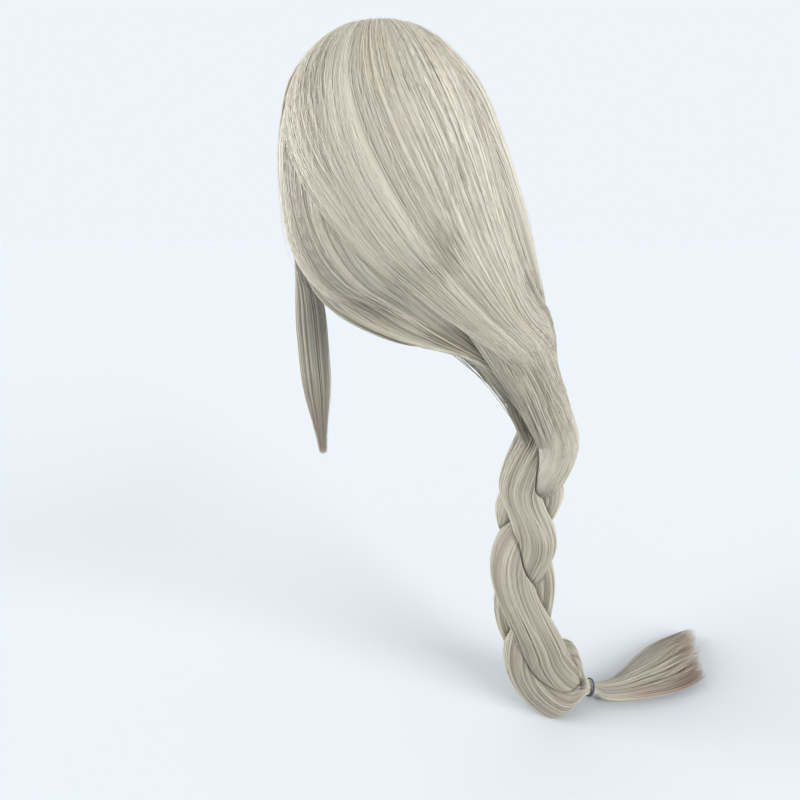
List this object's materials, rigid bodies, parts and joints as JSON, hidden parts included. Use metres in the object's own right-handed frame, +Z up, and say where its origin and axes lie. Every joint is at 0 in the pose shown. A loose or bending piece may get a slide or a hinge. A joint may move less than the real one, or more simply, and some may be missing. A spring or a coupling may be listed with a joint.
{
  "type": "costume wig",
  "caption": "Long straight ash-blonde costume wig on a wefted net cap, all its hair drawn over the right shoulder into one loose three-strand braid with an elastic tie and free tail.",
  "frame": {"origin": "centre of the wearer's head, on the level plane of the brow and the tops of the ears, inside the cap", "axes": "+Z up towards the crown, -Y the way the wearer faces, -X the wearer's right hand, where the braid hangs"},
  "size_m": [0.5376, 0.2633, 0.733],
  "materials": {
    "hair": "straight synthetic fibre, satin",
    "hair_braid": "straight synthetic fibre, satin",
    "hair_shaded": "straight synthetic fibre, darker inner layer",
    "hair_tail": "straight synthetic fibre, darker taupe ends",
    "cap_net": "knitted mesh",
    "weft": "machine-stitched hair track",
    "skin_cloth": "fine matt cloth",
    "elastic": "ribbed woven elastic",
    "stay": "cloth-covered bendable stay",
    "hook": "moulded, matt",
    "tie": "twisted elastic cord"
  },
  "bodies": {
    "wig": {"net_back_left": "cap_net", "net_back_centre": "cap_net", "net_back_right": "cap_net", "net_side_left": "cap_net", "net_side_right": "cap_net", "net_front": "cap_net", "crown_net": "cap_net", "front_band": "cap_net", "nape_band": "cap_net", "weft_row_1": "weft", "weft_row_2": "weft", "weft_row_3": "weft", "weft_row_4": "weft", "weft_row_5": "weft", "weft_row_6": "weft", "weft_row_7": "weft", "weft_row_8": "weft", "parting_patch": "skin_cloth", "pocket_tape_left": "elastic", "pocket_tape_right": "elastic", "adjuster_strap_left": "elastic", "adjuster_strap_right": "elastic", "crown_hair": "hair", "back_fall": "hair", "side_fall_right": "hair", "nape_layer": "hair", "under_layer": "hair_shaded", "front_fall_right": "hair", "side_hair_left": "hair", "fringe_left": "hair", "fringe_centre": "hair", "fringe_right": "hair"},
    "ear_flap_left": {"ear_tab_left": "cap_net", "ear_stay_left": "stay"},
    "ear_flap_right": {"ear_tab_right": "cap_net", "ear_stay_right": "stay"},
    "hook_left": {"adjuster_hook_left": "hook"},
    "hook_right": {"adjuster_hook_right": "hook"},
    "front_lock": {"front_lock_left": "hair"},
    "braid_upper": {"braid_upper_a": "hair_braid", "braid_upper_b": "hair_braid", "braid_upper_c": "hair_braid"},
    "braid_lower": {"braid_lower_a": "hair_braid", "braid_lower_b": "hair_braid", "braid_lower_c": "hair_braid", "hair_tie": "tie"},
    "tail": {"tail_tuft_near": "hair_tail", "tail_tuft_middle": "hair_tail", "tail_tuft_far": "hair_tail"}
  },
  "joints": [
    {"name": "braid_swing", "type": "hinge", "parent": "wig", "child": "braid_upper", "pos_m": [-0.184, -0.008, -0.201], "axis": [0, 1, 0], "range_deg": [0, 20]},
    {"name": "braid_bend", "type": "hinge", "parent": "braid_upper", "child": "braid_lower", "pos_m": [-0.202, -0.038, -0.461], "axis": [0, 1, 0], "range_deg": [0, 20]},
    {"name": "tail_lift", "type": "hinge", "parent": "braid_lower", "child": "tail", "pos_m": [-0.2575, -0.0295, -0.581], "axis": [-0.361, 0.9326, 0], "range_deg": [0, 35]},
    {"name": "front_lock_swing", "type": "hinge", "parent": "wig", "child": "front_lock", "pos_m": [0.084, -0.057, -0.0725], "axis": [-1, 0, 0], "range_deg": [0, 18]},
    {"name": "ear_tab_flex_left", "type": "hinge", "parent": "wig", "child": "ear_flap_left", "pos_m": [0.081, -0.0135, -0.0055], "axis": [0, 0.8571, -0.5151], "range_deg": [0, 20]},
    {"name": "ear_tab_flex_right", "type": "hinge", "parent": "wig", "child": "ear_flap_right", "pos_m": [-0.081, -0.0135, -0.0055], "axis": [0, -0.8571, 0.5151], "range_deg": [0, 20]},
    {"name": "hook_move_left", "type": "hinge", "parent": "wig", "child": "hook_left", "pos_m": [-0.00204, 0.02597, -0.04], "axis": [0, 0, 1], "range_deg": [0, 13.5]},
    {"name": "hook_move_right", "type": "hinge", "parent": "wig", "child": "hook_right", "pos_m": [0.00204, 0.02597, -0.04], "axis": [0, 0, -1], "range_deg": [0, 13.5]}
  ]
}
